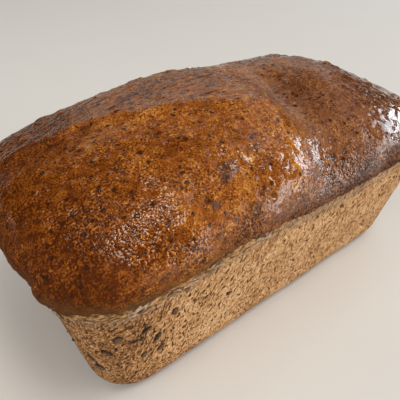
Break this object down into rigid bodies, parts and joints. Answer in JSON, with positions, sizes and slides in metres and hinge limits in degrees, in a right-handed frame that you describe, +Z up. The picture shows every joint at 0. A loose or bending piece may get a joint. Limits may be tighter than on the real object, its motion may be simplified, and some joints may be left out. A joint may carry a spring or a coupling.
{
  "type": "multigrain sourdough tin loaf",
  "caption": "Tin-baked multigrain sourdough loaf: leaning sides, rounded base, and a glossy crust dome with two humps and grains under the skin.",
  "frame": {"origin": "middle of the flat base, on the surface that the loaf stands on", "axes": "+X along the loaf towards its smaller hump, +Y across the loaf to the side away from the pictured long side, +Z up"},
  "size_m": [0.246, 0.1328, 0.1133],
  "materials": {
    "crust": "glossy orange-brown baked crust above the rim line, matt tan tin-baked sides below it",
    "grain": "dark brown whole grains, satin",
    "flake": "pale torn crust flakes, matt"
  },
  "bodies": {
    "root": {"loaf": "crust"}
  },
  "joints": []
}
